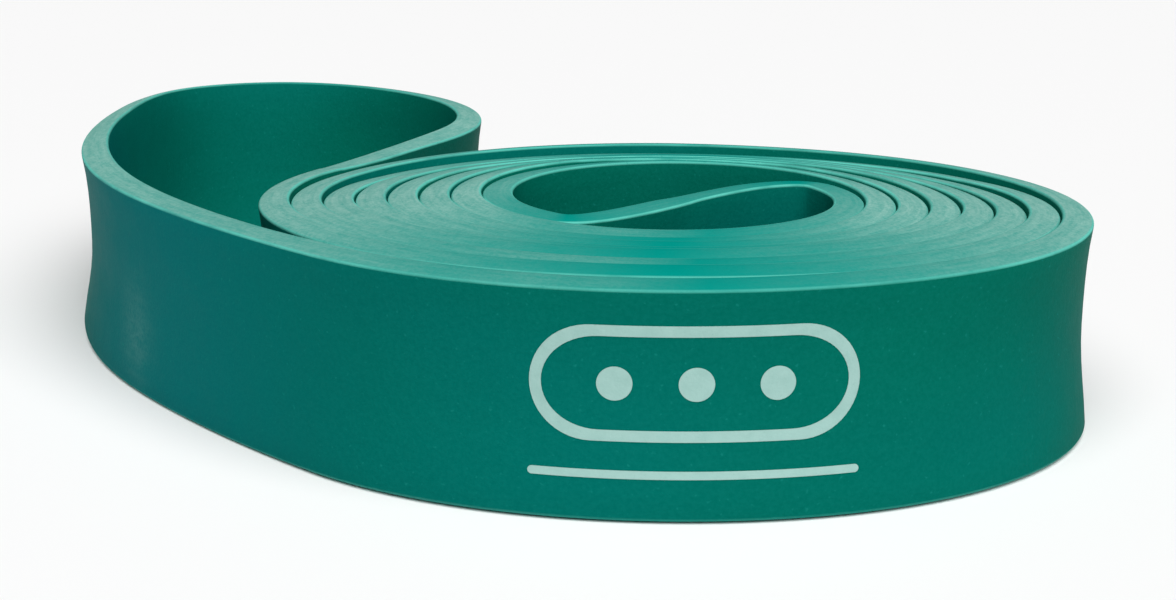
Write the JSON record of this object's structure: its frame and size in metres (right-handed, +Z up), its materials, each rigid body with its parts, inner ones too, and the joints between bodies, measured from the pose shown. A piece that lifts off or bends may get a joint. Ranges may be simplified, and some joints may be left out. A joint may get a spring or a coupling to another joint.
{
  "type": "loop resistance band",
  "caption": "Flat elastic loop exercise band, rolled into a coil that stands on its edge, with its outer end left open as a free loop.",
  "frame": {"origin": "middle of the bounding box's base, on the surface that the band stands on", "axes": "+Z up along the band's width; -Y towards the side with the printed mark; +X towards the roll, with the free loop towards -X and +Y"},
  "size_m": [0.1508, 0.1638, 0.0286],
  "materials": {
    "green_latex": "satin moulded latex, deep teal green, dusty pale edges",
    "mark_ink": "matte pale grey-green ink"
  },
  "bodies": {
    "roll": {"outer_strand_turn_1_front": "green_latex", "outer_strand_turn_1_back": "green_latex", "outer_strand_turn_2_front": "green_latex", "outer_strand_turn_2_back": "green_latex", "outer_strand_turn_3_front": "green_latex", "outer_strand_turn_3_back": "green_latex", "outer_strand_turn_4_front": "green_latex", "outer_strand_turn_4_back": "green_latex", "inner_bight_crossing": "green_latex", "inner_bight_tip": "green_latex", "inner_strand_turn_4_front": "green_latex", "inner_strand_turn_3_back": "green_latex", "inner_strand_turn_3_front": "green_latex", "inner_strand_turn_2_back": "green_latex", "inner_strand_turn_2_front": "green_latex", "inner_strand_turn_1_back": "green_latex", "inner_strand_turn_1_front": "green_latex", "printed_ring": "mark_ink", "printed_rule": "mark_ink", "printed_dot_1": "mark_ink", "printed_dot_2": "mark_ink", "printed_dot_3": "mark_ink"},
    "peel_link_1": {"peel_link_1_outer": "green_latex", "peel_link_1_inner": "green_latex"},
    "peel_link_2": {"peel_link_2_outer": "green_latex", "peel_link_2_inner": "green_latex"},
    "free_loop": {"free_loop_inner_wrap": "green_latex", "free_loop_inner_side": "green_latex", "free_loop_tip": "green_latex", "free_loop_outer_side": "green_latex", "free_loop_outer_neck": "green_latex"}
  },
  "joints": [
    {"name": "peel_bend_1", "type": "hinge", "parent": "roll", "child": "peel_link_1", "pos_m": [-0.00707, -0.07717, 0.0143], "axis": [0, 0, 1], "range_deg": [0, 20], "stiffness_Nm_per_rad": 0.02},
    {"name": "peel_bend_2", "type": "hinge", "parent": "peel_link_1", "child": "peel_link_2", "pos_m": [-0.0184, -0.07152, 0.0143], "axis": [0, 0, 1], "range_deg": [0, 20], "stiffness_Nm_per_rad": 0.02},
    {"name": "peel_bend_3", "type": "hinge", "parent": "peel_link_2", "child": "free_loop", "pos_m": [-0.0278, -0.06405, 0.0143], "axis": [0, 0, 1], "range_deg": [0, 20], "stiffness_Nm_per_rad": 0.02}
  ],
  "couplings": [
    {"joint": "peel_bend_2", "follows": "peel_bend_1", "ratio": 1},
    {"joint": "peel_bend_3", "follows": "peel_bend_1", "ratio": 1}
  ]
}
